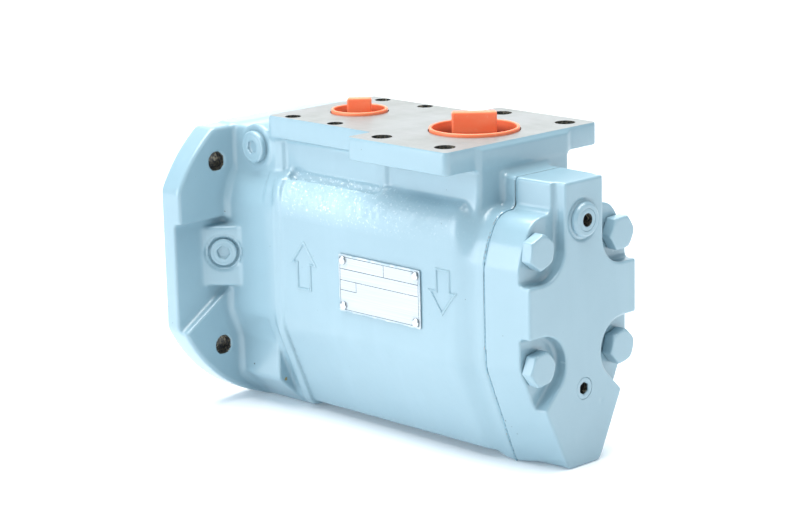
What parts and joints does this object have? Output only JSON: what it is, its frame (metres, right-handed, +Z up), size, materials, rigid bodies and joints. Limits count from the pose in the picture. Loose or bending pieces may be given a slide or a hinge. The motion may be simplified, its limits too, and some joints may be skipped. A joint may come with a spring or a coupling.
{
  "type": "three-screw pump",
  "caption": "Flange-mounted three-screw hydraulic pump with two port faces on top, a side nameplate and a relief valve in its rear cover.",
  "frame": {"origin": "centre of the pump's outline on its base plane, under the shaft line", "axes": "+X along the shaft towards the rear cover, +Z up through the port faces, -Y to the nameplate side"},
  "size_m": [0.231, 0.125, 0.1376],
  "materials": {
    "pump_body": "glossy blue-grey enamel over a casting",
    "rear_cover": "glossy blue-grey enamel over a casting",
    "rear_gasket": "fibre gasket",
    "rear_cover_bolt_1": "painted over with the pump",
    "rear_cover_bolt_2": "painted over with the pump",
    "rear_cover_bolt_3": "painted over with the pump",
    "rear_cover_bolt_4": "painted over with the pump",
    "drain_plug": "painted over with the pump",
    "vent_plug": "painted over with the pump",
    "vent_plug_washer": "copper sealing ring",
    "gauge_plug": "painted over with the pump",
    "gauge_plug_washer": "copper sealing ring",
    "nameplate": "satin plate with thin dark rules",
    "nameplate_rivet_1": "drive rivet",
    "nameplate_rivet_2": "drive rivet",
    "nameplate_rivet_3": "drive rivet",
    "nameplate_rivet_4": "drive rivet",
    "front_cover": "machined",
    "front_cover_screw_1": "black oxide",
    "front_cover_screw_2": "black oxide",
    "front_cover_screw_3": "black oxide",
    "front_cover_screw_4": "black oxide",
    "front_cover_o_ring": "nitrile",
    "bearing_outer_ring": "ground bearing steel",
    "bearing_circlip": "phosphated spring steel",
    "seal_seat": "carbon and ceramic seal faces",
    "balance_bush": "bronze",
    "idler_bush_left": "bronze",
    "idler_bush_right": "bronze",
    "relief_valve_gland": "painted over with the pump",
    "relief_valve_spring": "ground steel",
    "power_rotor": "ground steel",
    "shaft_key": "ground steel",
    "bearing_inner_ring": "ground bearing steel",
    "shaft_circlip": "phosphated spring steel",
    "seal_face_ring": "carbon and ceramic seal faces",
    "seal_spring": "ground steel",
    "seal_collar": "ground steel",
    "bearing_cage": "bronze",
    "bearing_ball_1": "ground bearing steel",
    "bearing_ball_2": "ground bearing steel",
    "bearing_ball_3": "ground bearing steel",
    "bearing_ball_4": "ground bearing steel",
    "bearing_ball_5": "ground bearing steel",
    "bearing_ball_6": "ground bearing steel",
    "bearing_ball_7": "ground bearing steel",
    "bearing_ball_8": "ground bearing steel",
    "bearing_ball_9": "ground bearing steel",
    "idler_rotor_left": "ground steel",
    "idler_rotor_right": "ground steel",
    "relief_valve_piston": "ground steel",
    "relief_valve_spindle": "painted over with the pump",
    "spindle_o_ring": "nitrile",
    "relief_valve_spring_seat": "ground steel",
    "inlet_plug": "orange polyethylene",
    "outlet_plug": "orange polyethylene"
  },
  "bodies": {
    "housing": {"pump_body": "pump_body", "rear_cover": "rear_cover", "rear_gasket": "rear_gasket", "rear_cover_bolt_1": "rear_cover_bolt_1", "rear_cover_bolt_2": "rear_cover_bolt_2", "rear_cover_bolt_3": "rear_cover_bolt_3", "rear_cover_bolt_4": "rear_cover_bolt_4", "drain_plug": "drain_plug", "vent_plug": "vent_plug", "vent_plug_washer": "vent_plug_washer", "gauge_plug": "gauge_plug", "gauge_plug_washer": "gauge_plug_washer", "nameplate": "nameplate", "nameplate_rivet_1": "nameplate_rivet_1", "nameplate_rivet_2": "nameplate_rivet_2", "nameplate_rivet_3": "nameplate_rivet_3", "nameplate_rivet_4": "nameplate_rivet_4", "front_cover": "front_cover", "front_cover_screw_1": "front_cover_screw_1", "front_cover_screw_2": "front_cover_screw_2", "front_cover_screw_3": "front_cover_screw_3", "front_cover_screw_4": "front_cover_screw_4", "front_cover_o_ring": "front_cover_o_ring", "bearing_outer_ring": "bearing_outer_ring", "bearing_circlip": "bearing_circlip", "seal_seat": "seal_seat", "balance_bush": "balance_bush", "idler_bush_left": "idler_bush_left", "idler_bush_right": "idler_bush_right", "relief_valve_gland": "relief_valve_gland", "relief_valve_spring": "relief_valve_spring"},
    "drive_shaft": {"power_rotor": "power_rotor", "shaft_key": "shaft_key", "bearing_inner_ring": "bearing_inner_ring", "shaft_circlip": "shaft_circlip", "seal_face_ring": "seal_face_ring", "seal_spring": "seal_spring", "seal_collar": "seal_collar"},
    "ball_set": {"bearing_cage": "bearing_cage", "bearing_ball_1": "bearing_ball_1", "bearing_ball_2": "bearing_ball_2", "bearing_ball_3": "bearing_ball_3", "bearing_ball_4": "bearing_ball_4", "bearing_ball_5": "bearing_ball_5", "bearing_ball_6": "bearing_ball_6", "bearing_ball_7": "bearing_ball_7", "bearing_ball_8": "bearing_ball_8", "bearing_ball_9": "bearing_ball_9"},
    "idler_left": {"idler_rotor_left": "idler_rotor_left"},
    "idler_right": {"idler_rotor_right": "idler_rotor_right"},
    "relief_piston": {"relief_valve_piston": "relief_valve_piston"},
    "adjusting_spindle": {"relief_valve_spindle": "relief_valve_spindle", "spindle_o_ring": "spindle_o_ring"},
    "spring_seat": {"relief_valve_spring_seat": "relief_valve_spring_seat"},
    "inlet_closure": {"inlet_plug": "inlet_plug"},
    "outlet_closure": {"outlet_plug": "outlet_plug"}
  },
  "joints": [
    {"name": "shaft_spin", "type": "hinge", "parent": "housing", "child": "drive_shaft", "pos_m": [0, 0, 0.068], "axis": [1, 0, 0], "continuous": true},
    {"name": "idler_left_spin", "type": "hinge", "parent": "housing", "child": "idler_left", "pos_m": [0, -0.018, 0.068], "axis": [1, 0, 0], "continuous": true},
    {"name": "idler_right_spin", "type": "hinge", "parent": "housing", "child": "idler_right", "pos_m": [0, 0.018, 0.068], "axis": [1, 0, 0], "continuous": true},
    {"name": "ball_set_spin", "type": "hinge", "parent": "housing", "child": "ball_set", "pos_m": [0, 0, 0.068], "axis": [1, 0, 0], "continuous": true},
    {"name": "relief_piston_slide", "type": "slide", "parent": "housing", "child": "relief_piston", "axis": [1, 0, 0], "range_m": [0, 0.006], "stiffness_N_per_m": 800, "springref_m": -0.01, "deforming": ["relief_valve_spring"]},
    {"name": "spindle_turn", "type": "hinge", "parent": "housing", "child": "adjusting_spindle", "pos_m": [0, 0, 0.101], "axis": [1, 0, 0], "range_deg": [0, 1080]},
    {"name": "spring_seat_slide", "type": "slide", "parent": "housing", "child": "spring_seat", "axis": [-1, 0, 0], "range_m": [0, 0.003], "deforming": ["relief_valve_spring"]},
    {"name": "inlet_plug_pull", "type": "slide", "parent": "housing", "child": "inlet_closure", "axis": [0, 0, 1], "range_m": [0, 0.03]},
    {"name": "outlet_plug_pull", "type": "slide", "parent": "housing", "child": "outlet_closure", "axis": [0, 0, 1], "range_m": [0, 0.03]}
  ],
  "couplings": [
    {"joint": "idler_left_spin", "follows": "shaft_spin", "ratio": -1},
    {"joint": "idler_right_spin", "follows": "shaft_spin", "ratio": -1},
    {"joint": "ball_set_spin", "follows": "shaft_spin", "ratio": 0.4},
    {"joint": "spring_seat_slide", "follows": "spindle_turn", "m_per_rad": 0.00015915}
  ]
}
